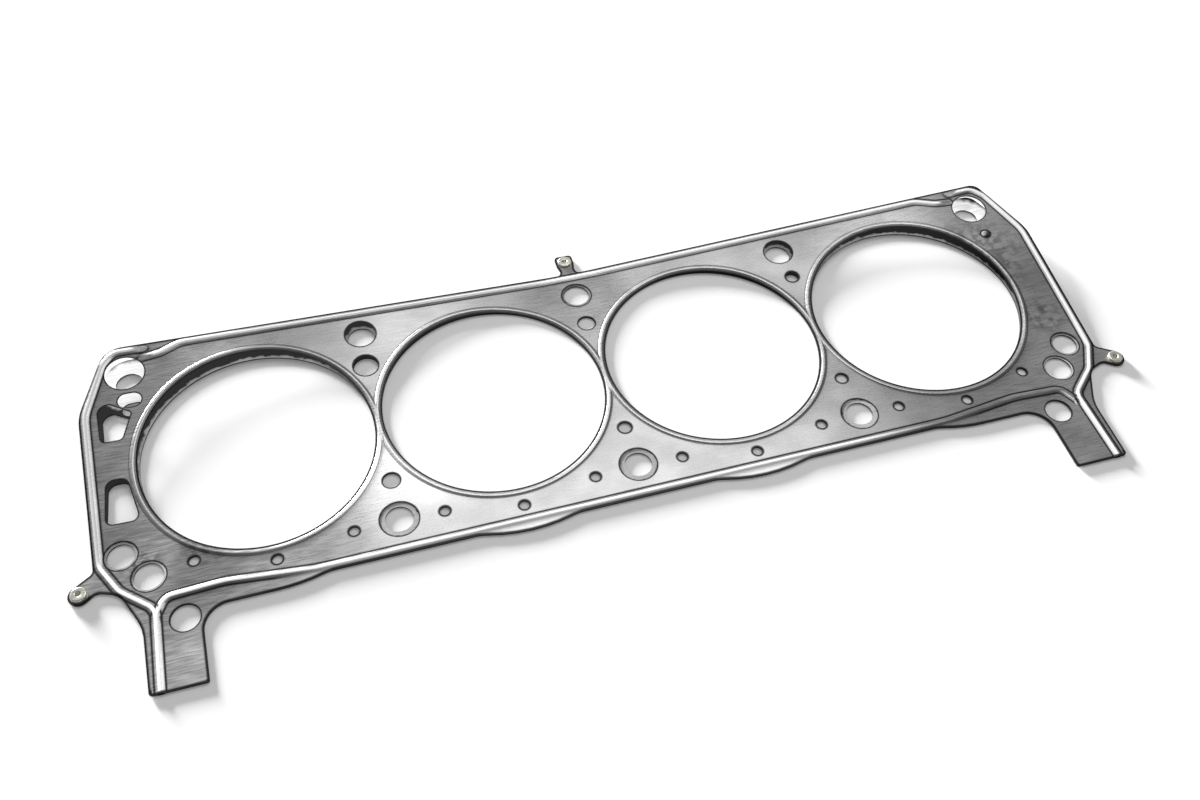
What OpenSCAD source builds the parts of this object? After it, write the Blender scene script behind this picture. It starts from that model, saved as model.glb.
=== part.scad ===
// Head gasket of three riveted steel sheets, the upper one sprung up at its two far corners.
// Origin: middle of the head-bolt pattern, on the plane that the gasket rests on.
// X runs along the row of bores, Y towards the long straight edge, Z up.

/* [Sheets] */
// Thickness of the two embossed sheets
sheet_t = 0.25; // [0.2:0.01:0.35]
// Thickness of the flat sheet between them
core_t = 0.5; // [0.3:0.05:0.8]
// Height of every bead above its sheet
bead_h = 0.5; // [0.4:0.05:0.7]

/* [Bores and head bolts] */
// Spacing of the bores, and of the middle head bolts
bore_pitch = 111.25; // [110:0.25:112]
// Diameter of the bores
bore_d = 106.7; // [104:0.1:107]
// Distance of the bore line behind the middle of the bolt pattern
bore_y = 1; // [0:0.1:2]
// Distance of each bolt row from the middle of the pattern
bolt_row_y = 54; // [53:0.25:55]
// Distance of the near row's end bolts from the middle; the far row keeps the bore spacing
near_end_bolt_x = 219; // [217:0.25:220]
// Bolt holes in the two lower sheets
bolt_hole_d = 12.8; // [12:0.1:13.2]
// Upper sheet's wide clearance over the middle bolts of the near row
near_clear_d = 17.4; // [15:0.1:18]
// Upper sheet's clearance over the end bolts of the near row
near_end_clear_d = 14.6; // [13.6:0.1:14.8]
// Upper sheet's clearance over the middle bolts of the far row
far_clear_d = 15; // [14:0.1:16]
// Upper sheet's wide clearance over the end bolts of the far row
far_end_clear_d = 18; // [16:0.1:18.6]

/* [Other holes] */
// Diameter of the row of small holes along the near edge
vent_d = 4.5; // [3:0.1:5.5]
// Hole beside each near end bolt, in the upper sheet
dowel_clear_d = 14; // [13:0.1:14.2]
// The same hole in the two lower sheets
dowel_hole_d = 12; // [11:0.1:12.8]
// Hole at the root of each leg
leg_hole_d = 12.5; // [10:0.1:13]
// Length of the oval hole beside the upper window
oval_l = 10.6; // [10:0.1:11]
// Width of the oval hole
oval_w = 7.6; // [7:0.1:7.8]

/* [Outline] */
// Far edge, measured from the origin
far_y = 69.4; // [69:0.1:70.5]
// Near edge between the bulges
near_y = 71.5; // [71.3:0.1:72]
// Reach of the bulge round each bore beyond that edge
bulge_out = 3.3; // [2.5:0.1:4]
// Left edge at its widest
side_x = 244.2; // [243.8:0.1:245]
// How much further out the right edge, ear and leg stand
right_extra = 2.3; // [1.5:0.1:2.6]
// Reach of the legs towards the viewer
leg_y = 109; // [100:0.5:120]
// Inner side of the legs
leg_in_x = 198; // [196:0.25:198.5]
// Outer side of the legs at their ends
leg_out_x = 221.8; // [221.4:0.1:222.4]

/* [Beads] */
// Width of the bead round the far edge, the sides and the legs
rim_bead_w = 4.6; // [4:0.1:4.8]
// Width of the bead along the near edge
near_bead_w = 4.2; // [3.6:0.1:4.4]
// Width of the bead round each bore
bore_bead_w = 3; // [2.4:0.1:3.2]
// Flat land between a bore and the foot of its bead
bore_land = 0.75; // [0.6:0.05:0.9]
// Width of a bead's flat crest as a share of its foot
crest_share = 0.36; // [0.2:0.02:0.5]

/* [Sprung corners] */
// Angle by which the left far corner of the upper sheet has sprung up
left_spring = 6.4; // [0.5:0.1:7.5]
// Angle by which the right far corner has sprung up
right_spring = 5.3; // [0.5:0.1:7.5]
// Where each bend starts on the far edge, measured from the middle
bend_far_x = 9; // [8:0.5:20]
// Where each bend ends on the side edge
bend_side_y = -45; // [-45.5:0.5:-38]

/* [Rivets] */
// Diameter of the rivet shanks
rivet_d = 3.4; // [3:0.1:3.8]
// Radial clearance of a shank in the sheets
rivet_clear = 0.05; // [0.05:0.05:0.2]
// Diameter of the rivet heads
rivet_head_d = 7; // [6:0.1:7.6]
// Height of the upper rivet heads
rivet_head_h = 1.3; // [0.8:0.1:1.8]
// Height of the lower, rolled rivet heads
rivet_foot_h = 0.4; // [0.3:0.05:0.4]
// Hole down each rivet
rivet_bore_d = 2; // [1:0.1:2.4]

/* [Hidden] */
$fa = 9;
$fs = 0.6;
arc_step = 12;
bend_lap = 0.5;

lower_z = bead_h;
core_z = lower_z + sheet_t;
upper_z = core_z + core_t;
bore_bead_r = bore_d / 2 + bore_land + bore_bead_w / 2;
columns = [-1, 0, 1] * bore_pitch;
bores = [-1.5, -0.5, 0.5, 1.5] * bore_pitch;

ear = [247.6, -55.6];
ear_way = [cos(-35), sin(-35)];
ear_across = [-ear_way.y, ear_way.x];
ear_r = 4.7;
ear_neck = 0.8 * ear_r;
top_ear_y = far_y + 8.4;
bulge_r = near_y + bulge_out + bore_y;

// Each is x, y and diameter.
passages = [[-111.8, 35, 12], [0, 34.5, 8.5], [112.5, 36.5, 6.5], [223.5, 35.5, 4.5],
            [-111.2, -33, 8], [0, -32.5, 6], [111.5, -32, 5.5]];
vents = [[21, -55.5], [56, -61.6], [91, -55.3], [131.5, -55], [165.5, -60.2], [200, -51.5]];
leg_hole = [205.4, -77.8];
dowel = [230, -41];
oval = [-221.2, 38.5];

// Windows, as x, y and corner radius
upper_window = [[-235.7, 37, 4.5], [-230.4, 37.8, 2], [-221, 31.7, 1.5], [-225.8, 17.8, 2.5],
                [-235, 17.8, 2.5]];
lower_window = [[-234, -2.8, 4], [-225.2, -2.8, 4], [-221, -24.8, 3], [-235.2, -24.8, 3]];

// Half of the outline from the top ear round to the near edge, as x, y and corner radius.
// It is written for the right, side 1, and the left, side -1, is mirrored from it.
flank = 15;
flank_x = (bulge_r / cos(flank) - near_y - bore_y) / tan(flank);
function outset(side) = side > 0 ? right_extra : 0;
function half(side) =
    let (edge = side_x + outset(side), leg = leg_out_x + outset(side), rivet = ear + [outset(side), 0])
    concat([[ear_r - 0.1, top_ear_y + ear_r, 2], [ear_r - 0.1, top_ear_y - 1.5, 1],
            [ear_neck, far_y + 3, 1.5], [ear_neck + 0.6, far_y, 2], [edge - 13.4, far_y, side > 0 ? 6 : 12],
            [edge, 33.5, 25], [edge - 1.8, -25, 60], [edge - 2.4, ear.y + 2 * ear_r - 0.4, 3]],
           [for (s = [1, -1]) let (p = rivet + ear_r * (ear_way + s * ear_across)) [p.x, p.y, ear_r - 0.2]],
           [[rivet.x - 1.5 * ear_r + 0.05, ear.y - 0.8, 4], [rivet.x - 16, ear.y - 3.8, 11],
            [leg + 0.9, -78, 22], [leg, -leg_y, 1.5], [leg_in_x, -leg_y, 1],
            [leg_in_x + 0.6, bore_y - bulge_r, 11],
            [bores[3] - bulge_r * tan(flank / 2), bore_y - bulge_r, bulge_r],
            [bores[3] - flank_x, -near_y, 20], [bores[2] + flank_x, -near_y, 20],
            [bores[2], bore_y - bulge_r / cos(flank), bulge_r], [bores[2] - flank_x, -near_y, 20]]);
outline = concat(half(1), let (left = half(-1)) [for (i = [len(left) - 1:-1:0]) mirror_point(left[i])]);

// Bead paths, as x, y and bend radius; the side's path is written for the right too
rim_bead_in = rim_bead_w / 2 + 0.4;
leg_bead_in = rim_bead_w;
far_bead_y = far_y - rim_bead_in;
near_bead_y = near_y - near_bead_w / 2 - 0.4;
far_bead_end = 214;
function side_path(side) =
    let (edge = side_x + outset(side), leg = leg_out_x - leg_bead_in + outset(side))
    [[leg, -leg_y, 0], [leg, -70.5, 8], [leg + 14.1, -58.3, 12], [edge - 4.9, -44, 12],
     [edge - rim_bead_in, 33.2, 22], [edge - 11.8, 60.4, 9], [edge - 17, far_bead_y, 7],
     [edge - 31, far_bead_y, 0]];
function far_path(end_x) =
    let (right = [[196, far_bead_y, 16], [206, 62.4, 12], [end_x, 61.4, 0]])
    concat(mirrored(right), right);
near_right = [[150, -near_bead_y, 60], [188, -64.8, 40], [213, -66, 6],
              [leg_out_x - leg_bead_in, -74, 0]];
near_path = concat(mirrored(near_right), near_right);

function flat(p) = [p.x, p.y];
function way(p, q) = (flat(q) - flat(p)) / norm(flat(q) - flat(p));

// Arc of radius b[2] that rounds the vertex b of a path between its neighbours a and c
function arc_centre(a, b, c) =
    let (u = way(b, a), v = way(b, c)) flat(b) + (u + v) / norm(u + v) * b[2] / sin(acos(u * v) / 2);
function arc_start(a, b, c) =
    let (u = way(b, a), p = flat(b) + u * b[2] / tan(acos(u * way(b, c)) / 2) - arc_centre(a, b, c))
    atan2(p.y, p.x);
function arc_turn(a, b, c) =
    let (u = way(b, a), v = way(b, c)) (cross(u, v) > 0 ? -1 : 1) * (180 - acos(u * v));

function corner_points(a, b, c) =
    let (n = max(1, ceil(abs(arc_turn(a, b, c)) / arc_step)))
    [for (i = [0:n]) let (t = arc_start(a, b, c) + arc_turn(a, b, c) * i / n)
        arc_centre(a, b, c) + b[2] * [cos(t), sin(t)]];
function rounded(v) =
    [for (i = [0:len(v) - 1]) each corner_points(v[(i + len(v) - 1) % len(v)], v[i], v[(i + 1) % len(v)])];
function centre_line(path) =
    let (last = len(path) - 1)
    concat([flat(path[0])],
           [for (i = [1:last - 1]) each corner_points(path[i - 1], path[i], path[i + 1])],
           [flat(path[last])]);

function mirror_point(p) = [-p.x, p.y, p[2]];
function mirrored(path) = [for (i = [len(path) - 1:-1:0]) mirror_point(path[i])];

// Cross-section of a bead: a crest at the given height and flanks that run on down to the foot's height
function section(w, crest_z, foot_z) =
    let (crest = w * crest_share / 2, out = crest + (w / 2 - crest) * (crest_z - foot_z) / bead_h)
    [[-out, foot_z], [out, foot_z], [crest, crest_z], [-crest, crest_z]];
function ridge(w) = section(w, sheet_t + bead_h, 0.8 * sheet_t);
function groove(w) = section(w, bead_h, -0.1);

// Sweep of a profile along a path, with mitred corners
module bead_run(path, profile) {
    line = centre_line(path);
    last = len(line) - 1;
    k = len(profile);
    ways = [for (i = [0:last]) [way(line[max(i - 1, 0)], line[max(i, 1)]),
                                way(line[min(i, last - 1)], line[min(i + 1, last)])]];
    across = [for (w = ways) [-w[0].y - w[1].y, w[0].x + w[1].x] / (1 + w[0] * w[1])];
    points = [for (i = [0:last], p = profile) let (q = line[i] + p.x * across[i]) [q.x, q.y, p.y]];
    ends = [[for (j = [0:k - 1]) j], [for (j = [k - 1:-1:0]) last * k + j]];
    sides = [for (i = [0:last - 1], j = [0:k - 1]) let (next = (j + 1) % k)
        [i * k + j, (i + 1) * k + j, (i + 1) * k + next, i * k + next]];
    polyhedron(points, concat(ends, sides), convexity = 8);
}

// Ring round each bore, cut off at the middle of the webs
module bore_beads(profile) {
    for (x = bores)
        intersection() {
            translate([x, bore_y])
                rotate_extrude()
                    translate([bore_bead_r, 0])
                        polygon(profile);
            inner = abs(x) < bore_pitch;
            reach = inner ? bore_pitch : 2 * bore_pitch;
            translate([inner ? x - bore_pitch / 2 : x > 0 ? bore_pitch : -3 * bore_pitch, -bore_pitch, -2])
                cube([reach, 2 * bore_pitch, 4]);
        }
}

module beads(raised) {
    bore_beads(raised ? ridge(bore_bead_w) : groove(bore_bead_w));
    bead_run(side_path(1), raised ? ridge(rim_bead_w) : groove(rim_bead_w));
    bead_run(mirrored(side_path(-1)), raised ? ridge(rim_bead_w) : groove(rim_bead_w));
    bead_run(far_path(raised ? far_bead_end : far_bead_end - sheet_t),
             raised ? ridge(rim_bead_w) : groove(rim_bead_w));
    bead_run(near_path, raised ? ridge(near_bead_w) : groove(near_bead_w));
}

module plan(near_d, near_end_d, far_d, far_end_d, dowel_d) {
    difference() {
        polygon(rounded(outline));
        for (x = bores)
            translate([x, bore_y]) circle(d = bore_d);
        for (x = columns) {
            translate([x, -bolt_row_y]) circle(d = near_d);
            translate([x, bolt_row_y]) circle(d = far_d);
        }
        for (s = [-1, 1]) {
            translate([s * near_end_bolt_x, -bolt_row_y]) circle(d = near_end_d);
            translate([s * 2 * bore_pitch, bolt_row_y]) circle(d = far_end_d);
            translate([s * dowel.x, dowel.y]) circle(d = dowel_d);
            translate([s * leg_hole.x, leg_hole.y]) circle(d = leg_hole_d);
            translate([s * (ear.x + outset(s)), ear.y]) circle(d = rivet_d + 2 * rivet_clear);
            for (v = vents)
                translate([s * v.x, v.y]) circle(d = vent_d);
        }
        translate([0, top_ear_y]) circle(d = rivet_d + 2 * rivet_clear);
        for (p = passages)
            translate([p.x, p.y]) circle(d = p[2]);
        translate(oval) {
            square([oval_l - oval_w, oval_w], center = true);
            for (s = [-1, 1])
                translate([s * (oval_l - oval_w) / 2, 0]) circle(d = oval_w);
        }
        polygon(rounded(upper_window));
        polygon(rounded(lower_window));
    }
}

module embossed(near_d, near_end_d, far_d, far_end_d, dowel_d) {
    difference() {
        union() {
            linear_extrude(sheet_t)
                plan(near_d, near_end_d, far_d, far_end_d, dowel_d);
            beads(true);
        }
        beads(false);
    }
}

module upper_flat() {
    embossed(near_clear_d, near_end_clear_d, far_clear_d, far_end_clear_d, dowel_clear_d);
}

// All of the sheet that lies at least so far past the bend on one side
module past_bend(side, distance) {
    run = side_x - bend_far_x;
    rise = bend_side_y - far_y;
    out = 2.5;
    depth = 3;
    reach = side_x + 20;
    translate([-side * rise, run, 0] * distance / norm([run, rise]) + [0, 0, -depth / 2])
        linear_extrude(depth)
            polygon([[side * (bend_far_x - out), far_y - out * rise / run],
                     [side * (bend_far_x - out), reach], [side * reach, reach],
                     [side * reach, far_y + (reach - bend_far_x) * rise / run]]);
}

// The sprung part is lapped over the flat part by a hair at the bend.
module sprung(side, angle) {
    from = [side * bend_far_x, far_y];
    translate(from)
        rotate(angle, [side_x - bend_far_x, side * (bend_side_y - far_y), 0])
            translate(-from)
                intersection() {
                    upper_flat();
                    past_bend(side, 0.1);
                }
}

module upper_sheet() {
    color("silver")
        translate([0, 0, upper_z]) {
            difference() {
                upper_flat();
                past_bend(-1, bend_lap);
                past_bend(1, bend_lap);
            }
            sprung(-1, left_spring);
            sprung(1, right_spring);
        }
}

module core_sheet() {
    color("gainsboro")
        translate([0, 0, core_z])
            linear_extrude(core_t)
                plan(bolt_hole_d, bolt_hole_d, bolt_hole_d, bolt_hole_d, dowel_hole_d);
}

module lower_sheet() {
    color("darkgray")
        translate([0, 0, core_z])
            mirror([0, 0, 1])
                embossed(bolt_hole_d, bolt_hole_d, bolt_hole_d, bolt_hole_d, dowel_hole_d);
}

// Hollow rivet with a rounded upper head and a rolled foot
module rivet() {
    edge = 0.45;
    top = upper_z + sheet_t;
    color("khaki")
        rotate_extrude()
            polygon([[rivet_bore_d / 2, lower_z - rivet_foot_h],
                     [rivet_head_d / 2 - edge, lower_z - rivet_foot_h],
                     [rivet_head_d / 2, lower_z], [rivet_d / 2, lower_z],
                     [rivet_d / 2, top], [rivet_head_d / 2, top],
                     [rivet_head_d / 2, top + rivet_head_h - edge],
                     [rivet_head_d / 2 - edge / 3, top + rivet_head_h - edge / 3],
                     [rivet_head_d / 2 - edge, top + rivet_head_h],
                     [rivet_bore_d / 2 + edge, top + rivet_head_h],
                     [rivet_bore_d / 2, top + rivet_head_h - edge]]);
}

module left_rivet() {
    translate([-ear.x - outset(-1), ear.y]) rivet();
}

module top_rivet() {
    translate([0, top_ear_y]) rivet();
}

module right_rivet() {
    translate([ear.x + outset(1), ear.y]) rivet();
}

upper_sheet();
core_sheet();
lower_sheet();
left_rivet();
top_rivet();
right_rivet();
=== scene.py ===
import math

import bpy
import numpy as np
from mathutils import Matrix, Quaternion, Vector
from mathutils.geometry import delaunay_2d_cdt


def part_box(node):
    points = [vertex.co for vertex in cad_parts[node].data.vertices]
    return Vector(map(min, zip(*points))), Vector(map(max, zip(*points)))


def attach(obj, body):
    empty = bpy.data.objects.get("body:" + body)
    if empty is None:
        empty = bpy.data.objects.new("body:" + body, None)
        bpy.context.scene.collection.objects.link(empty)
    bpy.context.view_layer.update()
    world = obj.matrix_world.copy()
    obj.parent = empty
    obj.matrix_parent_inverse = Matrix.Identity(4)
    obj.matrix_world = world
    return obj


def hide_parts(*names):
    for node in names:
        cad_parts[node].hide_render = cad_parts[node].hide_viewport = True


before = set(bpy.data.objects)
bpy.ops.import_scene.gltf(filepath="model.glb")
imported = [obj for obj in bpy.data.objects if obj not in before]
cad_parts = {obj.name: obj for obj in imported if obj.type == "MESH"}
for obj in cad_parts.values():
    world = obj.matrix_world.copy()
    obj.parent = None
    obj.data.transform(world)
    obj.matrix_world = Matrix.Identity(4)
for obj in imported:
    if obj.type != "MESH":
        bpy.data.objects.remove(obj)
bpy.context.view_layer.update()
mm = 0.001

# Plan of the gasket in millimetres, with the origin in the middle of the head bolt pattern
gasket = {
    "sheetThickness": 0.25,
    "beadHeight": 0.5,
    "borePitch": 111.25,
    "boreDiameter": 106.7,
    "boreY": 1.0,
    "boltRowY": 54.0,
    "nearEndBoltX": 219.0,
    "farEdgeY": 69.4,
    "nearEdgeY": -71.5,
    "bulgeOut": 3.3,
    "bulgeFlank": 15.0,  # degrees
    "sideX": 244.2,
    "rightExtra": 2.3,
    "legEndY": -109.0,
    "legInnerX": 198.0,
    "legOuterX": 221.8,
    "ear": (247.6, -55.6),
    "earSlope": -35.0,  # degrees
    "earRadius": 4.7,
    "topEarY": 77.8,
    "rivetHole": 3.5,
    "dowel": (230, -41),
    "legHole": (205.4, -77.8),
    "legHoleDiameter": 12.5,
    "ventDiameter": 4.5,
    "vents": [(21, -55.5), (56, -61.6), (91, -55.3), (131.5, -55), (165.5, -60.2), (200, -51.5)],
    "passages": [(-111.8, 35, 12), (0, 34.5, 8.5), (112.5, 36.5, 6.5), (223.5, 35.5, 4.5),
                 (-111.2, -33, 8), (0, -32.5, 6), (111.5, -32, 5.5)],
    "widePassage": 7.0,
    "oval": (-221.2, 38.5, 10.6, 7.6),
    "windows": [[(-235.7, 37, 4.5), (-230.4, 37.8, 2), (-221, 31.7, 1.5), (-225.8, 17.8, 2.5),
                 (-235, 17.8, 2.5)],
                [(-234, -2.8, 4), (-225.2, -2.8, 4), (-221, -24.8, 3), (-235.2, -24.8, 3)]],
    "arcStep": 5.0,  # degrees
    "lineStep": 4.0,
}


def flat(p):
    return np.array(p[:2], float)


def way(p, q):
    run = flat(q) - flat(p)
    return run / np.linalg.norm(run)


def cornerPoints(a, b, c):
    # arc of radius b[2] that rounds the corner b between a and c
    radius = b[2] if len(b) > 2 else 0
    u, v = way(b, a), way(b, c)
    opening = math.acos(max(-1, min(1, float(u @ v))))
    if radius == 0 or opening > math.pi - 1e-4:
        return [flat(b)]
    centre = flat(b) + (u + v) / np.linalg.norm(u + v) * radius / math.sin(opening / 2)
    start = flat(b) + u * radius / math.tan(opening / 2) - centre
    turn = (math.pi - opening) * (-1 if u[0] * v[1] - u[1] * v[0] > 0 else 1)
    count = max(1, math.ceil(abs(math.degrees(turn)) / gasket["arcStep"]))
    first = math.atan2(start[1], start[0])
    return [centre + radius * np.array([math.cos(t), math.sin(t)])
            for t in (first + turn * i / count for i in range(count + 1))]


def rounded(corners):
    count = len(corners)
    return [p for i in range(count)
            for p in cornerPoints(corners[i - 1], corners[i], corners[(i + 1) % count])]


def centreLine(path):
    middle = [p for i in range(1, len(path) - 1) for p in cornerPoints(path[i - 1], path[i], path[i + 1])]
    return [flat(path[0])] + middle + [flat(path[-1])]


def subdivided(points, step, closed=False):
    ends = points[1:] + ([points[0]] if closed else [])
    made = []
    for p, q in zip(points, ends):
        count = max(1, math.ceil(np.linalg.norm(q - p) / step))
        made += [p + (q - p) * i / count for i in range(count)]
    return made if closed else made + [points[-1]]


def mirrored(path):
    return [(-p[0], *p[1:]) for p in path]


def circle(x, y, diameter):
    count = max(24, round(360 / gasket["arcStep"] * (1 if diameter < 50 else 2)))
    turns = [2 * math.pi * i / count for i in range(count)]
    return [np.array([x + diameter / 2 * math.cos(t), y + diameter / 2 * math.sin(t)]) for t in turns]


def boreCentres():
    return [s * gasket["borePitch"] for s in (-1.5, -0.5, 0.5, 1.5)]


def outset(side):
    return gasket["rightExtra"] if side > 0 else 0


def halfOutline(side):
    # one half from the top ear round to the near edge, always written with x to the right
    g = gasket
    edge, leg = g["sideX"] + outset(side), g["legOuterX"] + outset(side)
    ear, slope, r = np.array(g["ear"]) + (outset(side), 0), math.radians(g["earSlope"]), g["earRadius"]
    out = np.array([math.cos(slope), math.sin(slope)])
    across = np.array([-out[1], out[0]])
    flank = math.radians(g["bulgeFlank"])
    bulge = g["bulgeOut"] + g["boreY"] - g["nearEdgeY"]
    third, fourth = boreCentres()[2:]
    foot = g["boreY"] - bulge
    flankX = (bulge / math.cos(flank) + g["nearEdgeY"] - g["boreY"]) / math.tan(flank)
    half = [(r - 0.1, g["topEarY"] + r, 2), (r - 0.1, g["topEarY"] - 1.5, 1),
            (0.8 * r, g["farEdgeY"] + 3, 1.5), (0.8 * r + 0.6, g["farEdgeY"], 2),
            (edge - 13.4, g["farEdgeY"], 6 if side > 0 else 12),
            (edge, 33.5, 25), (edge - 1.8, -25, 60), (edge - 2.4, ear[1] + 9, 3)]
    half += [(*(ear + r * (out + s * across)), r - 0.2) for s in (1, -1)]
    half += [(ear[0] - 7, ear[1] - 0.8, 4), (ear[0] - 16, ear[1] - 3.8, 11), (leg + 0.9, -78, 22),
             (leg, g["legEndY"], 1.5), (g["legInnerX"], g["legEndY"], 1), (g["legInnerX"] + 0.6, foot, 11),
             (fourth - bulge * math.tan(flank / 2), foot, bulge),
             (fourth - flankX, g["nearEdgeY"], 20), (third + flankX, g["nearEdgeY"], 20),
             (third, g["boreY"] - bulge / math.cos(flank), bulge), (third - flankX, g["nearEdgeY"], 20)]
    return half


def outlineCorners():
    return halfOutline(1) + mirrored(halfOutline(-1))[::-1]


# How finely the sheets are cut up for pressing, and the widths of the lips along their borders that painted
# shade darkens
cutting = {
    "beadShares": [s * k for k in (0.25, 0.45, 0.6, 0.75, 0.88, 1.0, 1.2, 1.5) for s in (-1, 1)] + [0],
    "shadedLip": 0.95,
    "smallLip": 1.4,
    "boreLip": 1.5,
    "outlineLip": 1.7,
    "ringSteps": 180,
    "webGap": 0.02,
    "lattice": 5.0,
    "latticeFrom": (-260, -112),
    "latticeTo": (260, 84),
    "clearance": 0.4,  # share of the lattice that is kept clear round the lines
}


def holeLoops(sizes):
    # the loop of every hole with the width of the painted-shade lip round it
    g = gasket
    bores = [circle(x, g["boreY"], g["boreDiameter"]) for x in boreCentres()]
    wide = [circle(x, y, d) for x, y, d in g["passages"] if d >= g["widePassage"]]
    small = [circle(x, y, d) for x, y, d in g["passages"] if d < g["widePassage"]]
    for x in (-g["borePitch"], 0, g["borePitch"]):
        wide += [circle(x, -g["boltRowY"], sizes["near"]), circle(x, g["boltRowY"], sizes["far"])]
    for s in (-1, 1):
        wide += [circle(s * g["nearEndBoltX"], -g["boltRowY"], sizes["nearEnd"]),
                 circle(s * 2 * g["borePitch"], g["boltRowY"], sizes["farEnd"]),
                 circle(s * g["dowel"][0], g["dowel"][1], sizes["dowel"]),
                 circle(s * g["legHole"][0], g["legHole"][1], g["legHoleDiameter"]),
                 circle(s * (g["ear"][0] + outset(s)), g["ear"][1], g["rivetHole"])]
        small += [circle(s * x, y, g["ventDiameter"]) for x, y in g["vents"]]
    wide.append(circle(0, g["topEarY"], g["rivetHole"]))
    x, y, length, width = g["oval"]
    turns = ((1, 1), (-1, 1), (-1, -1), (1, -1))
    oval = [(x + i * length / 2, y + j * width / 2, width / 2 - 0.01) for i, j in turns]
    wide += [rounded(corners) for corners in [oval] + g["windows"]]
    groups = (("boreLip", bores), ("shadedLip", wide), ("smallLip", small))
    return [(loop, cutting[kind]) for kind, loops in groups for loop in loops]


# Beads pressed into both outer sheets: where each runs, how wide it is and how bright a highlight is
# painted on its crest
beads = {
    "rimWidth": 4.6,
    "nearWidth": 4.2,
    "boreWidth": 3.0,
    "boreLand": 0.75,
    "edgeLand": 0.4,
    "crestShare": 0.2,
    "endTaper": 5.0,
    "rimHighlight": 1.0,
    "nearHighlight": 0.8,
    "boreHighlight": 0.5,
    "boreFootFade": 0.4,
    "nearRimReach": 190.0,
    "nearRimFade": 60.0,
    "nearHighlightDull": (90.0, 165.0, 0.65),  # from and to along x, and how much duller the near crest gets
    "noBead": 9.0,  # gap that stands for no bead near by
}


def sidePath(side):
    edge = gasket["sideX"] + outset(side)
    leg = gasket["legOuterX"] + outset(side) - beads["rimWidth"]
    inset = beads["rimWidth"] / 2 + beads["edgeLand"]
    farY = gasket["farEdgeY"] - inset
    return [(leg, gasket["legEndY"], 0), (leg, -70.5, 8), (leg + 14.1, -58.3, 12), (edge - 4.9, -44, 12),
            (edge - inset, 33.2, 22), (edge - 11.8, 60.4, 9), (edge - 17, farY, 7), (edge - 31, farY, 0)]


def beadRuns():
    # each is a centre line, its kind and which of its ends taper away
    farY = gasket["farEdgeY"] - beads["rimWidth"] / 2 - beads["edgeLand"]
    nearY = gasket["nearEdgeY"] + beads["nearWidth"] / 2 + beads["edgeLand"]
    far = [(196, farY, 16), (206, 62.4, 12), (214, 61.4, 0)]
    near = [(150, nearY, 60), (188, -64.8, 40), (213, -66, 6),
            (gasket["legOuterX"] - beads["rimWidth"], -74, 0)]
    runs = [(sidePath(1), "rim", (False, True)),
            (mirrored(sidePath(-1)), "rim", (False, True)),
            (mirrored(far)[::-1] + far, "rim", (True, True)),
            (mirrored(near)[::-1] + near, "near", (False, False))]
    step = gasket["lineStep"]
    return [(subdivided(centreLine(path), step), kind, tapered) for path, kind, tapered in runs]


def distanceAlong(points, line):
    # nearest distance of every point to a centre line, and how far along the line that is
    best = np.full(len(points), 1e9)
    along = np.zeros(len(points))
    walked = 0.0
    for p, q in zip(line[:-1], line[1:]):
        run = q - p
        length = np.linalg.norm(run)
        t = np.clip((points - p) @ run / length ** 2, 0, 1)
        gap = np.linalg.norm(points - p - t[:, None] * run, axis=1)
        closer = gap < best
        best[closer] = gap[closer]
        along[closer] = walked + t[closer] * length
        walked += length
    return best, along, walked


def smoothStep(low, high, value):
    t = np.clip((value - low) / (high - low), 0, 1)
    return t * t * (3 - 2 * t)


def beadForm(points, boreRing):
    # height of the beads over the flat sheet, gap to the nearest bead's foot and the painted highlight on
    # the crests
    height, paintedHighlight = np.zeros(len(points)), np.zeros(len(points))
    footGap = np.full(len(points), beads["noBead"])
    dullFrom, dullTo, loss = beads["nearHighlightDull"]
    nearHighlight = beads["nearHighlight"] * (1 - loss * smoothStep(dullFrom, dullTo, points[:, 0]))
    for line, kind, tapered in beadRuns():
        width = beads[kind + "Width"]
        gap, along, length = distanceAlong(points, line)
        rise = 1 - smoothStep(beads["crestShare"], 1, gap / (width / 2))
        if tapered[0]:
            rise *= smoothStep(0, beads["endTaper"], along)
        if tapered[1]:
            rise *= smoothStep(0, beads["endTaper"], length - along)
        height = np.maximum(height, rise)
        # painted highlight along each crest, brightest on the rim
        paintedHighlight = np.maximum(paintedHighlight, rise ** 4 * (nearHighlight if kind == "near" else beads["rimHighlight"]))
        footGap = np.minimum(footGap, np.abs(gap - width / 2))
    for x in boreCentres():
        gap = np.abs(np.hypot(points[:, 0] - x, points[:, 1] - gasket["boreY"]) - boreRing)
        rise = 1 - smoothStep(beads["crestShare"], 1, gap / (beads["boreWidth"] / 2))
        height = np.maximum(height, rise)
        paintedHighlight = np.maximum(paintedHighlight, rise ** 4 * beads["boreHighlight"])
        footGap = np.minimum(footGap, np.abs(gap - beads["boreWidth"] / 2) + beads["boreFootFade"])
    # painted highlight: the near rim outside its bead is painted as bright as the crest, less so towards
    # its ends
    nearCrest = gasket["nearEdgeY"] + beads["nearWidth"] / 2 + beads["edgeLand"]
    reach = beads["nearRimReach"]
    nearRimHighlight = smoothStep(reach, reach - beads["nearRimFade"], np.abs(points[:, 0]))
    nearRimHighlight[points[:, 1] > nearCrest] = 0
    paintedHighlight = np.maximum(paintedHighlight, nearRimHighlight * nearHighlight)
    footGap = np.maximum(footGap, nearRimHighlight)
    return height * gasket["beadHeight"], footGap, paintedHighlight


def inside(points, loop):
    # even-odd test of many points against one closed loop
    within = np.zeros(len(points), bool)
    for p, q in zip(loop, loop[1:] + loop[:1]):
        crosses = (p[1] > points[:, 1]) != (q[1] > points[:, 1])
        if p[1] != q[1]:
            at = p[0] + (points[:, 1] - p[1]) / (q[1] - p[1]) * (q[0] - p[0])
            within ^= crosses & (points[:, 0] < at)
    return within


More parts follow.
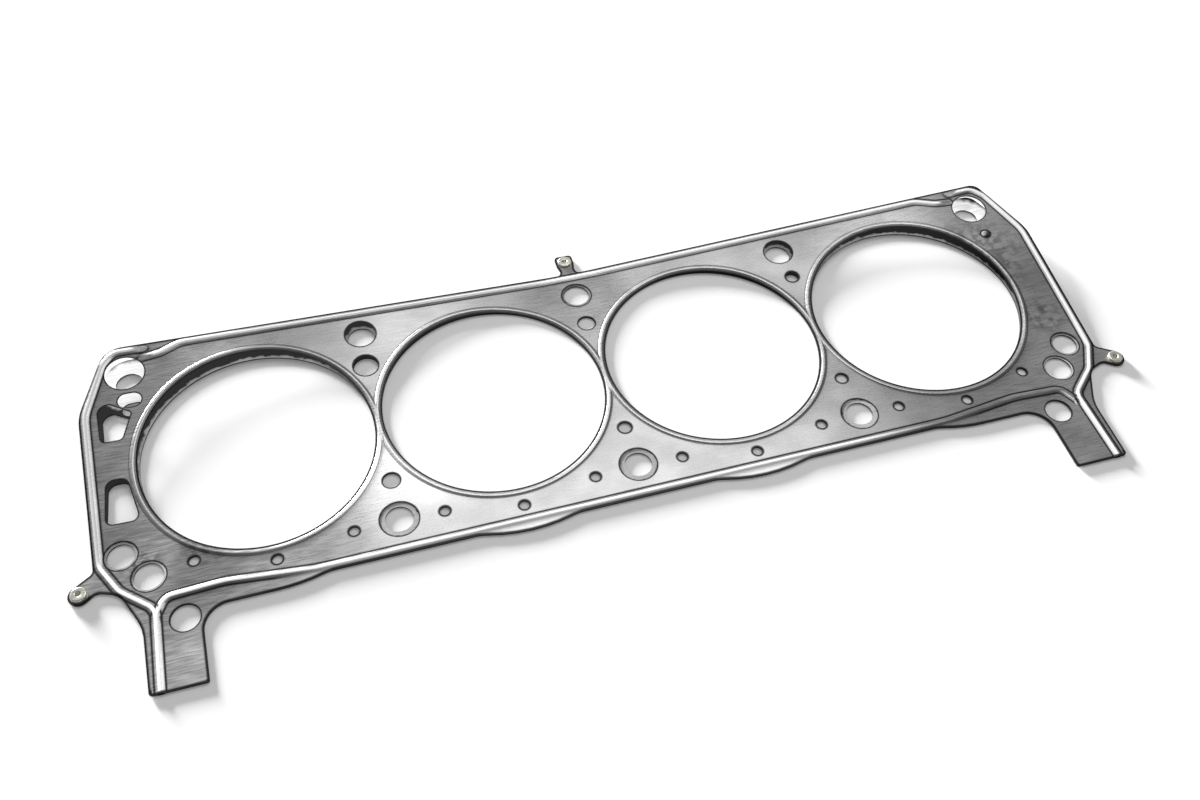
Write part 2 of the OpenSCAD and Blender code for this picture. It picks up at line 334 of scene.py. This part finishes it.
def offsetLines(line, width):
    # lines beside a centre line, close enough together to round the bead off
    points = np.array(line)
    runs = np.diff(points, axis=0)
    runs /= np.linalg.norm(runs, axis=1)[:, None]
    before = np.vstack([runs[:1], runs])
    after = np.vstack([runs, runs[-1:]])
    across = np.stack([-(before + after)[:, 1], (before + after)[:, 0]], axis=1)
    across /= (1 + (before * after).sum(1))[:, None]
    return [points + across * share * width / 2 for share in cutting["beadShares"]]


def insetLoop(loop, distance):
    # the same loop moved into its inside, or out of it for a negative distance
    points = np.array(loop)
    onward = np.roll(points, -1, axis=0)
    area = (points[:, 0] * onward[:, 1] - points[:, 1] * onward[:, 0]).sum()
    after = onward - points
    after /= np.linalg.norm(after, axis=1)[:, None]
    before = np.roll(after, 1, axis=0)
    across = np.stack([-(before + after)[:, 1], (before + after)[:, 0]], axis=1)
    across /= (1 + (before * after).sum(1))[:, None]
    return points + across * distance * np.sign(area)


def webbedRings(radius):
    # circle round each bore, left open where it would run past the middle of a web
    web, runs = gasket["borePitch"] / 2, []
    for x in boreCentres():
        run = []
        for i in range(cutting["ringSteps"] + 1):
            turn = 2 * math.pi * i / cutting["ringSteps"]
            p = np.array([x + radius * math.cos(turn), gasket["boreY"] + radius * math.sin(turn)])
            pastWeb = abs(p[0] - x) > web - cutting["webGap"] and abs(p[0]) < 3 * web
            if pastWeb:
                runs.append(run)
                run = []
            else:
                run.append(p)
        runs.append(run)
    return [run for run in runs if len(run) > 1]


def latticePoints(known, outline):
    grid, (left, near), (right, far) = cutting["lattice"], cutting["latticeFrom"], cutting["latticeTo"]
    xs = np.arange(left, right, grid)
    ys = np.arange(near, far, grid * math.sqrt(3) / 2)
    lattice = np.array([(x + grid / 2 * (j % 2), y) for j, y in enumerate(ys) for x in xs])
    cells = {}
    for p in known:
        cells.setdefault((int(p[0] // grid), int(p[1] // grid)), []).append(p)
    kept = []
    for p in lattice[inside(lattice, outline)]:
        i, j = int(p[0] // grid), int(p[1] // grid)
        close = [q for a in (-1, 0, 1) for b in (-1, 0, 1) for q in cells.get((i + a, j + b), [])]
        if all(np.hypot(*(q - p)) > grid * cutting["clearance"] for q in close):
            kept.append(p)
    return kept


def sheetPlan(sizes):
    # flat triangles of a sheet, cut along its borders, beads and a plain lattice
    outline = subdivided(rounded(outlineCorners()), gasket["lineStep"], closed=True)
    borders = [(outline, cutting["outlineLip"])] + holeLoops(sizes)
    vertices, edges = [], []

    def addLine(points, closed=False):
        first = len(vertices)
        vertices.extend(Vector((float(p[0]), float(p[1]))) for p in points)
        edges.extend((first + i, first + i + 1) for i in range(len(points) - 1))
        if closed:
            edges.append((first + len(points) - 1, first))

    for loop, shadedLip in borders:
        addLine(loop, closed=True)
        addLine(insetLoop(loop, shadedLip if loop is outline else -shadedLip), closed=True)
    for line, kind, tapered in beadRuns():
        for beside in offsetLines(line, beads[kind + "Width"]):
            addLine(beside)
    ring = gasket["boreDiameter"] / 2 + beads["boreLand"] + beads["boreWidth"] / 2
    for share in cutting["beadShares"]:
        for run in webbedRings(ring + share * beads["boreWidth"] / 2):
            addLine(run)
    known = np.array([(v.x, v.y) for v in vertices])
    vertices.extend(Vector((float(p[0]), float(p[1]))) for p in latticePoints(known, outline))
    made = delaunay_2d_cdt(vertices, edges, [], 0, 1e-4, False)
    points = np.array([(v.x, v.y) for v in made[0]])
    faces = np.array(made[2])
    middles = points[faces].mean(axis=1)
    solid = inside(middles, outline)
    for loop, shadedLip in borders[1:]:
        solid &= ~inside(middles, loop)
    faces = faces[solid]
    used = np.unique(faces)
    index = np.full(len(points), -1)
    index[used] = np.arange(len(used))
    return points[used], index[faces], borders, ring


# How the far corners of the upper sheet have sprung up, each about a line across the corner
spring = {
    "left": 6.4,  # degrees
    "right": 5.3,  # degrees
    "farX": 9.0,
    "sideY": -45.0,
    "halfWidth": 15.0,  # of the soft bend on either side of the line
    "lead": 40.0,  # length at each end of the line over which the bend gets sharp
    "lap": 2.5,  # how far towards the middle from farX the bend is still taken
}


def sprungUp(points, z):
    moved = np.column_stack([points, z])
    start = np.array([spring["farX"], gasket["farEdgeY"]])
    end = np.array([gasket["sideX"], spring["sideY"]])
    length = np.linalg.norm(end - start)
    run = (end - start) / length
    out = np.array([-run[1], run[0]])
    for side, angle in ((-1, spring["left"]), (1, spring["right"])):
        local = points * [side, 1] - start
        past = local @ out
        along = local @ run
        soft = 1 + spring["halfWidth"] * smoothStep(0, spring["lead"], along) * smoothStep(
            length, length - spring["lead"], along)
        turn = math.radians(angle)
        bent = np.clip(past + soft, 0, 2 * soft)
        phi = bent / (2 * soft) * turn
        radius = 2 * soft / turn
        beyond = np.maximum(past - soft, 0)
        newPast = -soft + radius * np.sin(phi) + beyond * np.cos(turn) - z * np.sin(phi)
        newZ = radius * (1 - np.cos(phi)) + beyond * np.sin(turn) + z * np.cos(phi)
        turned = (past > -soft) & (points[:, 0] * side > spring["farX"] - spring["lap"])
        shift = (newPast - past)[:, None] * out * [side, 1]
        moved[turned, :2] += shift[turned]
        moved[turned, 2] += (newZ - z)[turned]
    return moved


def embossedSheet(name, sizes, baseZ, upright):
    points, faces, borders, ring = sheetPlan(sizes)
    height, footGap, paintedHighlight = beadForm(points, ring)
    edgeGap = np.min([distanceAlong(points, loop + loop[:1])[0] / shadedLip for loop, shadedLip in borders], axis=0)
    lowZ, highZ = height, height + gasket["sheetThickness"]
    if upright:
        top, bottom = sprungUp(points, highZ), sprungUp(points, lowZ)
    else:
        top, bottom = np.column_stack([points, -highZ]), np.column_stack([points, -lowZ])
    count = len(points)
    vertices = np.vstack([top, bottom])
    vertices[:, 2] += baseZ
    a, b, c = points[faces[:, 0]], points[faces[:, 1]], points[faces[:, 2]]
    area = (b[:, 0] - a[:, 0]) * (c[:, 1] - a[:, 1]) - (b[:, 1] - a[:, 1]) * (c[:, 0] - a[:, 0])
    faces = np.where((area < 0)[:, None], faces[:, ::-1], faces)
    outer = faces if upright else faces[:, ::-1]
    inner = outer[:, ::-1] + count
    pairs = {}
    for f in outer:
        for p, q in ((f[0], f[1]), (f[1], f[2]), (f[2], f[0])):
            pairs[(p, q)] = True
    border = [(p, q) for p, q in pairs if (q, p) not in pairs]
    walls = [(q, p, p + count, q + count) for p, q in border]
    mesh = bpy.data.meshes.new(name)
    mesh.from_pydata((vertices * mm).tolist(), [], outer.tolist() + inner.tolist() + walls)
    mesh.update()
    mesh.polygons.foreach_set("use_smooth", [True] * len(mesh.polygons))
    crisp = {frozenset(e) for p, q in border for e in ((p, q), (p + count, q + count))}
    for edge in mesh.edges:
        edge.use_edge_sharp = frozenset(edge.vertices) in crisp
    for label, values in (("footGap", footGap), ("edgeGap", edgeGap), ("paintedHighlight", paintedHighlight)):
        layer = mesh.attributes.new(label, "FLOAT", "POINT")
        layer.data.foreach_set("value", np.tile(values, 2).astype(np.float32))
    sheet = bpy.data.objects.new(name, mesh)
    bpy.context.scene.collection.objects.link(sheet)
    mesh.validate()
    print(name, len(mesh.vertices), "vertices", len(faces) * 2 + len(walls) * 2, "triangles")
    return sheet


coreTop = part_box("core_sheet")[1].z / mm
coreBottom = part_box("core_sheet")[0].z / mm
upperHoles = {"near": 17.4, "nearEnd": 14.6, "far": 15.0, "farEnd": 18.0, "dowel": 14.0}
lowerHoles = {"near": 12.8, "nearEnd": 12.8, "far": 12.8, "farEnd": 12.8, "dowel": 12.0}
upper = embossedSheet("upper_sheet_pressed", upperHoles, coreTop, True)
lower = embossedSheet("lower_sheet_pressed", lowerHoles, coreBottom, False)
for sheet, node in ((upper, "upper_sheet"), (lower, "lower_sheet")):
    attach(sheet, "root")
    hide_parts(node)

# Hollow rivets, rolled over at both ends
rivets = {
    "shank": 3.4,
    "hole": 2.0,
    "head": 7.0,
    "headHeight": 1.3,
    "footHeight": 0.4,
    "footFlare": 0.45,
    "roll": 0.62,
    "turns": 48,
}


def rivetProfile():
    r = rivets
    low, top = gasket["beadHeight"], coreTop + gasket["sheetThickness"]
    headTop = top + r["headHeight"]
    return rounded([(r["hole"] / 2, low - r["footHeight"], 0.2),
                    (r["head"] / 2 - r["footFlare"], low - r["footHeight"], 0.3), (r["head"] / 2, low, 0.1),
                    (r["shank"] / 2, low, 0), (r["shank"] / 2, top, 0), (r["head"] / 2, top, 0),
                    (r["head"] / 2, headTop, r["roll"]), (r["hole"] / 2, headTop, r["roll"])])


def lathedRivet(name, place):
    profile = rivetProfile()
    turns, count = rivets["turns"], len(profile)
    spin = [2 * math.pi * i / turns for i in range(turns)]
    vertices = [(radius * math.cos(t) * mm, radius * math.sin(t) * mm, z * mm)
                for t in spin for radius, z in profile]
    faces = [(i * count + j, (i + 1) % turns * count + j, (i + 1) % turns * count + (j + 1) % count,
              i * count + (j + 1) % count) for i in range(turns) for j in range(count)]
    mesh = bpy.data.meshes.new(name)
    mesh.from_pydata(vertices, [], faces)
    mesh.polygons.foreach_set("use_smooth", [True] * len(mesh.polygons))
    mesh.set_sharp_from_angle(angle=math.radians(50))
    rivet = bpy.data.objects.new(name, mesh)
    rivet.location = (place[0] * mm, place[1] * mm, 0)
    bpy.context.scene.collection.objects.link(rivet)
    return rivet


earX, earY = gasket["ear"]
rivetPlaces = {"left_rivet": (-earX - outset(-1), earY), "top_rivet": (0, gasket["topEarY"]),
               "right_rivet": (earX + outset(1), earY)}
rolledRivets = []
for node, place in rivetPlaces.items():
    rivet = lathedRivet(node + "_rolled", place)
    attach(rivet, "root")
    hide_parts(node)
    rolledRivets.append(rivet)
print("rivets", len(rolledRivets))


def newMaterial(name):
    material = bpy.data.materials.new(name)
    material.use_nodes = True
    return material, material.node_tree, material.node_tree.nodes["Principled BSDF"]


def feed(tree, socket, value):
    # a socket is given either a plain value or another node's output
    if isinstance(value, bpy.types.NodeSocket):
        tree.links.new(value, socket)
    else:
        socket.default_value = value


def worked(tree, operation, a, b=0.0):
    node = tree.nodes.new("ShaderNodeMath")
    node.operation = operation
    feed(tree, node.inputs[0], a)
    feed(tree, node.inputs[1], b)
    return node.outputs[0]


def ranged(tree, value, low, high, outLow, outHigh):
    node = tree.nodes.new("ShaderNodeMapRange")
    node.interpolation_type = "SMOOTHSTEP"
    for socket, given in zip(node.inputs, (value, low, high, outLow, outHigh)):
        feed(tree, socket, given)
    return node.outputs["Result"]


def blended(tree, share, a, b):
    node = tree.nodes.new("ShaderNodeMix")
    feed(tree, node.inputs["Factor"], share)
    feed(tree, node.inputs["A"], a)
    feed(tree, node.inputs["B"], b)
    return node.outputs["Result"]


def objectPlace(tree):
    return tree.nodes.new("ShaderNodeTexCoord").outputs["Object"]


def noise(tree, scale, detail):
    # in object space, with a scale per metre for each axis
    mapping = tree.nodes.new("ShaderNodeMapping")
    mapping.inputs["Scale"].default_value = scale
    tree.links.new(objectPlace(tree), mapping.inputs["Vector"])
    texture = tree.nodes.new("ShaderNodeTexNoise")
    texture.inputs["Scale"].default_value = 1
    texture.inputs["Detail"].default_value = detail
    tree.links.new(mapping.outputs[0], texture.inputs["Vector"])
    return texture.outputs["Fac"]


def drawn(tree, name):
    node = tree.nodes.new("ShaderNodeAttribute")
    node.attribute_name = name
    return node.outputs["Fac"]


def sideFace(tree):
    # 1 on upright faces such as cut edges and hole walls, 0 on level ones
    parts = tree.nodes.new("ShaderNodeSeparateXYZ")
    tree.links.new(tree.nodes.new("ShaderNodeTexCoord").outputs["Normal"], parts.inputs[0])
    return worked(tree, "LESS_THAN", worked(tree, "ABSOLUTE", parts.outputs["Z"]), 0.5)


def distanceTo(tree, centre, bothEnds=False):
    # level distance from a point given in millimetres, or also from its mirror image across the middle
    parts = tree.nodes.new("ShaderNodeSeparateXYZ")
    tree.links.new(objectPlace(tree), parts.inputs[0])
    x = worked(tree, "ABSOLUTE", parts.outputs["X"]) if bothEnds else parts.outputs["X"]
    level = tree.nodes.new("ShaderNodeCombineXYZ")
    tree.links.new(x, level.inputs["X"])
    tree.links.new(parts.outputs["Y"], level.inputs["Y"])
    gap = tree.nodes.new("ShaderNodeVectorMath")
    gap.operation = "DISTANCE"
    tree.links.new(level.outputs[0], gap.inputs[0])
    gap.inputs[1].default_value = (centre[0] * mm, centre[1] * mm, 0)
    return worked(tree, "DIVIDE", gap.outputs["Value"], mm)


def grained(tree, look):
    # lengthwise grain and broad cloudiness, as a factor near 1
    streaks = noise(tree, look["grain"], 3)
    clouds = noise(tree, look["clouds"], 4)
    streaked = ranged(tree, streaks, 0.3, 0.7, 1 - look["streak"], 1 + look["streak"])
    clouded = ranged(tree, clouds, 0.3, 0.7, 1 - look["cloud"], 1 + look["cloud"])
    return streaks, worked(tree, "MULTIPLY", streaked, clouded)


def finish(tree, shader, look, streaks):
    tree.links.new(ranged(tree, streaks, 0.25, 0.75, look["roughLow"], look["roughHigh"]),
                   shader.inputs["Roughness"])
    bump = tree.nodes.new("ShaderNodeBump")
    bump.inputs["Strength"].default_value = look["bump"]
    bump.inputs["Distance"].default_value = look["bumpHeight"] * mm
    tree.links.new(worked(tree, "ADD", streaks, noise(tree, look["pits"], 2)), bump.inputs["Height"])
    tree.links.new(bump.outputs[0], shader.inputs["Normal"])


pressedSteel = {
    "grey": 0.40,
    "grain": (120, 1700, 120),
    "clouds": (45, 60, 45),
    "pits": (900, 900, 900),
    "streak": 0.06,
    "cloud": 0.11,
    "metallic": 0.8,
    "roughLow": 0.24,
    "roughHigh": 0.36,
    "bump": 0.25,
    "bumpHeight": 0.05,
    "footShadeWidth": 0.9,
    "footShadeDark": 0.06,
    "crest": 0.97,
    "crestMetallic": 0.0,
    "sheen": 0.25,
    "edgeShadeFrom": 0.32,
    "edgeShadeTo": 0.95,
    "edgeShadeDark": 0.012,
    # dark spots: centre, radius and depth
    "stains": [((214, 22), 34, 0.45), ((-221, -48), 12, 0.6), ((-196, -44), 14, 0.5),
               ((228, -22), 14, 0.5)],
    "stainGrain": 260,
    # broad patches of painted light and painted shade, brighter or duller: centre, radius and gain
    "paintedLightPatches": [((-105, -25), 60, 1.5), ((-108, -30), 30, 1.4), ((-195, -60), 28, 0.68),
             ((-205, -102), 26, 1.4), ((160, -58), 80, 0.62), ((240, 0), 45, 0.68), ((170, 62), 45, 1.6),
             ((-183, 66), 32, 1.35), ((-132, 62), 36, 0.8), ((-28, 64), 50, 0.76)],
}


# grain, cloudiness and stains, with painted light and shade: broad patches, dark bead feet, white crests
# and dark outlines
def pressedFinish(name, look):
    material, tree, shader = newMaterial(name)
    streaks, shade = grained(tree, look)
    # painted light and shade: broad patches brightened or dulled to stand in for uneven reflections
    for centre, radius, gain in look["paintedLightPatches"]:
        patch = ranged(tree, distanceTo(tree, centre), radius * 0.2, radius, gain, 1.0)
        shade = worked(tree, "MULTIPLY", shade, patch)
    mottle = noise(tree, (look["stainGrain"],) * 3, 3)
    for centre, radius, depth in look["stains"]:
        near = ranged(tree, distanceTo(tree, centre), radius * 0.3, radius, 1.0, 0.0)
        spots = worked(tree, "MULTIPLY", near, ranged(tree, mottle, 0.42, 0.6, 0.0, depth))
        shade = worked(tree, "MULTIPLY", shade, worked(tree, "SUBTRACT", 1.0, spots))
    # painted shade: a dark line along the foot of every bead, in the crease beside it
    line = ranged(tree, drawn(tree, "footGap"), 0.1, look["footShadeWidth"], look["footShadeDark"], 1.0)
    ground = worked(tree, "MULTIPLY", worked(tree, "MULTIPLY", shade, line), look["grey"])
    # painted highlight: the crests are blended to near white and lose their metal
    crest = ranged(tree, drawn(tree, "paintedHighlight"), 0.3, 0.95, 0.0, 1.0)
    # painted shade: a dark outline along the sheet's border and every hole, with no metal shine there
    shadedLip = ranged(tree, drawn(tree, "edgeGap"), look["edgeShadeFrom"], look["edgeShadeTo"], look["edgeShadeDark"], 1.0)
    tone = worked(tree, "MULTIPLY", blended(tree, crest, ground, look["crest"]), shadedLip)
    tree.links.new(tone, shader.inputs["Base Color"])
    metal = worked(tree, "MULTIPLY", blended(tree, crest, look["metallic"], look["crestMetallic"]), shadedLip)
    tree.links.new(metal, shader.inputs["Metallic"])
    shader.inputs["Specular IOR Level"].default_value = look["sheen"]
    finish(tree, shader, look, streaks)
    return material


# Flat middle sheet: painted near black as the shade in the gaps under the sprung upper sheet, with painted
# light in rings round the bolt holes and a little along the bores
middleShadeAndLight = dict(
    pressedSteel, grey=0.015, metallic=0.1, streak=0.15, roughLow=0.85, roughHigh=0.95, wallShade=0.02,
    sheen=0.05,
    # each painted light ring is a centre, the radii between which it fades, and its brightness
    lightRings=[((222.5, 54), 12.5, 16, 0.85), ((219, -54), 7.3, 8.5, 0.5), ((230, -41), 6.8, 8, 0.4),
           ((111.25, -54), 8.3, 9.5, 0.42), ((0, -54), 8.3, 9.5, 0.4), ((111.25, 54), 7.3, 8.5, 0.2),
           ((0, 54), 7.3, 8.5, 0.25), ((166.875, 1), 53.8, 55.2, 0.3)],
    ringWobble=4.0)


def middleFinish(name, look):
    material, tree, shader = newMaterial(name)
    streaks, shade = grained(tree, look)
    # painted shade: the sheet is near black so the gaps under the upper sheet read dark
    tone = look["grey"]
    mottle = noise(tree, (look["stainGrain"],) * 3, 3)
    wobble = worked(tree, "MULTIPLY", worked(tree, "SUBTRACT", mottle, 0.5), look["ringWobble"])
    # painted light: bright rings round the bolt holes and along the bores
    for centre, full, end, bright in look["lightRings"]:
        gap = worked(tree, "ADD", distanceTo(tree, centre, bothEnds=True), wobble)
        tone = worked(tree, "MAXIMUM", tone, ranged(tree, gap, full, end, bright, 0.0))
    # painted shade: upright faces such as hole walls are painted dark
    tone = blended(tree, sideFace(tree), worked(tree, "MULTIPLY", tone, shade), look["wallShade"])
    tree.links.new(tone, shader.inputs["Base Color"])
    shader.inputs["Metallic"].default_value = look["metallic"]
    shader.inputs["Specular IOR Level"].default_value = look["sheen"]
    finish(tree, shader, look, streaks)
    return material


rivetPlate = dict(pressedSteel, colour=(0.80, 0.79, 0.70), roughLow=0.2, roughHigh=0.3)


def platedFinish(name, look):
    material, tree, shader = newMaterial(name)
    streaks, shade = grained(tree, look)
    tint = tree.nodes.new("ShaderNodeVectorMath")
    tint.operation = "SCALE"
    tint.inputs[0].default_value = look["colour"]
    tree.links.new(shade, tint.inputs["Scale"])
    tree.links.new(tint.outputs[0], shader.inputs["Base Color"])
    shader.inputs["Metallic"].default_value = look["metallic"]
    finish(tree, shader, look, streaks)
    return material


def dress(node, material):
    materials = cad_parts[node].data.materials
    if len(materials) == 0:
        materials.append(material)
    for i in range(len(materials)):
        materials[i] = material


sheetFinish = pressedFinish("pressed_steel_painted_light_and_shade", pressedSteel)
plateFinish = platedFinish("rivet_plate", rivetPlate)
for sheet in (upper, lower):
    sheet.data.materials.append(sheetFinish)
for rivet in rolledRivets:
    rivet.data.materials.append(plateFinish)
dress("core_sheet", middleFinish("middle_steel_painted_shade_and_light", middleShadeAndLight))
for node in rivetPlaces:
    dress(node, plateFinish)
print("materials", len(bpy.data.materials))

# Floor and lights: one soft light above, and a wide low sun behind on the left that throws the shadows
studio = {
    "floorSize": 40.0,
    "floorGrey": 0.88,
    "floorGlow": 0.12,
    "world": 0.21,
    "aboveCentre": (0.2, 0.37, 1.0),
    "aboveSize": (0.75, 0.6),
    "aboveRadiance": 2.5,
    "sunFrom": (-0.4, 0.92),
    "sunHeight": 7.5,  # degrees
    "sunWidth": 14.0,  # degrees
    "sunStrength": 17.5,
}


def makeFloor():
    half = studio["floorSize"] / 2
    mesh = bpy.data.meshes.new("floor")
    corners = [(-half, -half, 0), (half, -half, 0), (half, half, 0), (-half, half, 0)]
    mesh.from_pydata(corners, [], [(0, 1, 2, 3)])
    floor = bpy.data.objects.new("floor", mesh)
    floor.location.z = -0.01 * mm
    bpy.context.scene.collection.objects.link(floor)
    material, tree, shader = newMaterial("pale_floor")
    shader.inputs["Base Color"].default_value = (*[studio["floorGrey"]] * 3, 1)
    shader.inputs["Roughness"].default_value = 0.9
    shader.inputs["Specular IOR Level"].default_value = 0
    shader.inputs["Emission Color"].default_value = (1, 1, 1, 1)
    rays = tree.nodes.new("ShaderNodeLightPath").outputs
    seen = worked(tree, "MAXIMUM", rays["Is Camera Ray"], rays["Is Glossy Ray"])
    seen = worked(tree, "MAXIMUM", seen, rays["Is Transmission Ray"])
    tree.links.new(worked(tree, "MULTIPLY", seen, studio["floorGlow"]), shader.inputs["Emission Strength"])
    mesh.materials.append(material)


def lampHolder(lamp, aim):
    holder = bpy.data.objects.new(lamp.name, lamp)
    holder.rotation_mode = "QUATERNION"
    holder.rotation_quaternion = aim.to_track_quat("-Z", "Y")
    bpy.context.scene.collection.objects.link(holder)
    return holder


def makeSoftbox(target):
    lamp = bpy.data.lights.new("softbox_above", "AREA")
    lamp.shape = "RECTANGLE"
    lamp.size, lamp.size_y = studio["aboveSize"]
    lamp.energy = studio["aboveRadiance"] * math.pi * lamp.size * lamp.size_y
    lampHolder(lamp, Vector(target) - Vector(studio["aboveCentre"])).location = studio["aboveCentre"]


def makeSun():
    lamp = bpy.data.lights.new("low_sun", "SUN")
    lamp.angle = math.radians(studio["sunWidth"])
    lamp.energy = studio["sunStrength"]
    x, y = studio["sunFrom"]
    lampHolder(lamp, Vector((-x, -y, -math.tan(math.radians(studio["sunHeight"])))))


def makeWorld():
    world = bpy.data.worlds.new("studio")
    bpy.context.scene.world = world
    world.use_nodes = True
    background = world.node_tree.nodes["Background"]
    background.inputs["Color"].default_value = (1, 1, 1, 1)
    background.inputs["Strength"].default_value = studio["world"]


makeFloor()
makeSoftbox((0.02, 0, 0))
makeSun()
makeWorld()
print("floor and lights")

# Camera as in the photograph, in metres and in degrees
view = {
    "place": (-0.1082, -0.3267, 0.4414),
    "direction": (0.1844, 0.5695, -0.8010),
    "roll": 2.3,
    "focalPixels": 1141.65,
    "imageWidth": 1200,
}


def makeCamera():
    data = bpy.data.cameras.new("camera")
    data.sensor_width = 36
    data.lens = data.sensor_width * view["focalPixels"] / view["imageWidth"]
    data.clip_start = 0.01
    camera = bpy.data.objects.new("camera", data)
    camera.location = view["place"]
    camera.rotation_mode = "QUATERNION"
    aim = Vector(view["direction"]).to_track_quat("-Z", "Y")
    camera.rotation_quaternion = aim @ Quaternion((0, 0, 1), math.radians(view["roll"]))
    bpy.context.scene.collection.objects.link(camera)
    bpy.context.scene.camera = camera


makeCamera()
bpy.context.scene.view_settings.view_transform = "Standard"
